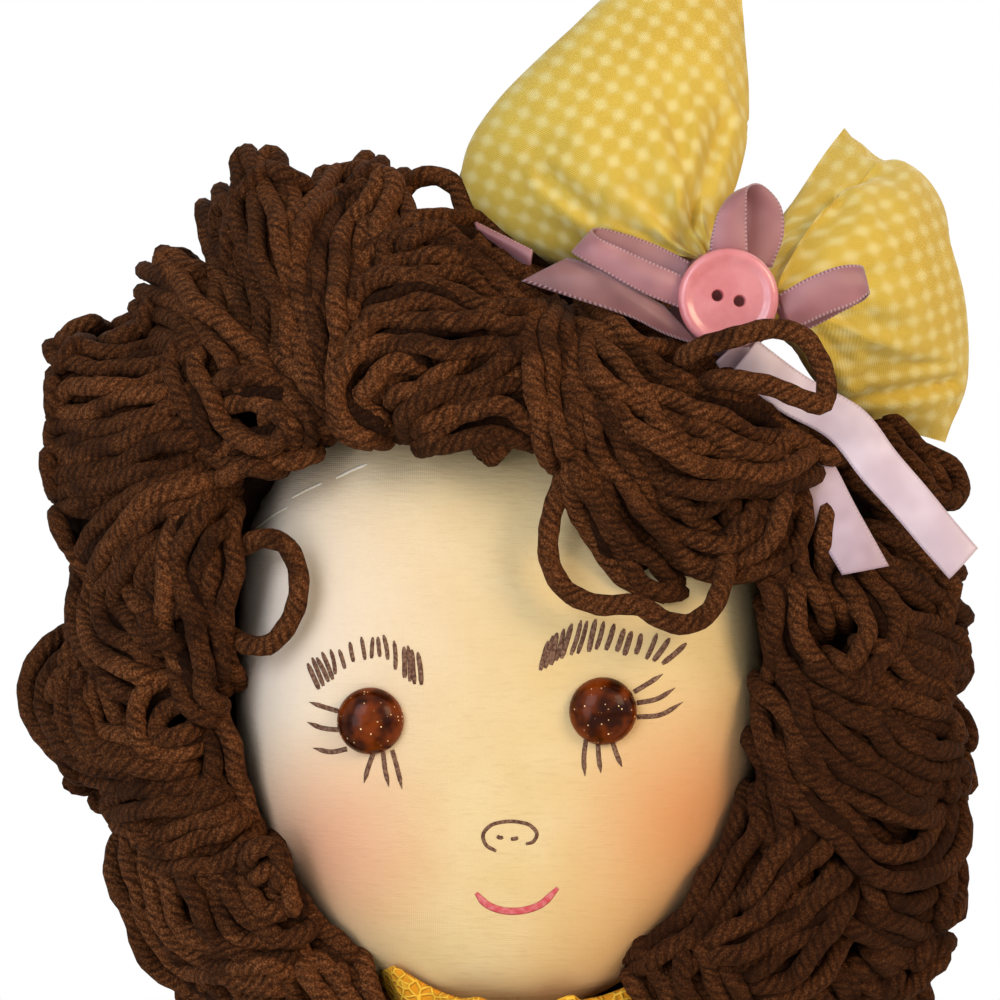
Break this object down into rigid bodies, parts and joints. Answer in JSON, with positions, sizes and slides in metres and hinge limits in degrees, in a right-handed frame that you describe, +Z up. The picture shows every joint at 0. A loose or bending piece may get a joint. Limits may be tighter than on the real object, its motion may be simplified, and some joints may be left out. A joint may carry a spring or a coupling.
{
  "type": "rag doll",
  "caption": "Seated stuffed rag doll with looped yarn hair, a stuffed gingham bow with satin ribbons and a button, bead eyes and a gingham dress.",
  "frame": {"origin": "on the floor, under the middle of the flat seat", "axes": "+Z up, -Y the way the doll faces, +X to the right of someone looking at its face"},
  "size_m": [0.2206, 0.3196, 0.4129],
  "materials": {
    "muslin": "woven cotton muslin, matt",
    "gingham": "woven cotton gingham check, matt",
    "golden_lace": "golden lace trim",
    "yarn": "plied yarn, matt",
    "satin_ribbon": "satin, soft sheen",
    "pink_plastic": "moulded, glossy",
    "eye_bead": "polished, glossy with glitter",
    "felt": "felt, matt"
  },
  "bodies": {
    "torso": {"torso": "muslin", "dress_bodice": "gingham", "dress_skirt": "gingham", "collar_ruffle": "golden_lace"},
    "head": {"head": "muslin", "eye_left": "eye_bead", "eye_right": "eye_bead", "hair_curls_right": "yarn", "hair_side_right": "yarn", "hair_crown_right": "yarn", "hair_fringe": "yarn", "hair_crown_left": "yarn", "hair_temple_left": "yarn", "hair_side_left": "yarn", "hair_curls_left": "yarn", "hair_back": "yarn", "bow_lobe_left": "gingham", "bow_lobe_right": "gingham", "bow_knot": "satin_ribbon", "bow_button": "pink_plastic", "ribbon_loop_left": "satin_ribbon", "ribbon_loop_top": "satin_ribbon", "ribbon_loop_right": "satin_ribbon", "ribbon_tail_left": "satin_ribbon", "ribbon_tail_right": "satin_ribbon", "ribbon_tail_lower": "satin_ribbon"},
    "arm_left": {"arm_left": "muslin", "sleeve_left": "gingham"},
    "arm_right": {"arm_right": "muslin", "sleeve_right": "gingham"},
    "leg_left": {"leg_left": "muslin", "shoe_left": "felt"},
    "leg_right": {"leg_right": "muslin", "shoe_right": "felt"}
  },
  "joints": [
    {"name": "head_nod", "type": "hinge", "parent": "torso", "child": "head", "pos_m": [0, 0, 0.178], "axis": [1, 0, 0], "range_deg": [-8, 8]},
    {"name": "shoulder_left", "type": "hinge", "parent": "torso", "child": "arm_left", "pos_m": [-0.0635, 0, 0.12], "axis": [-1, 0, 0], "range_deg": [-60, 110]},
    {"name": "shoulder_right", "type": "hinge", "parent": "torso", "child": "arm_right", "pos_m": [0.0635, 0, 0.12], "axis": [-1, 0, 0], "range_deg": [-60, 110]},
    {"name": "hip_left", "type": "hinge", "parent": "torso", "child": "leg_left", "pos_m": [-0.027, -0.036, 0.0215], "axis": [1, 0, 0], "range_deg": [-8, 90]},
    {"name": "hip_right", "type": "hinge", "parent": "torso", "child": "leg_right", "pos_m": [0.027, -0.036, 0.0215], "axis": [1, 0, 0], "range_deg": [-8, 90]}
  ]
}
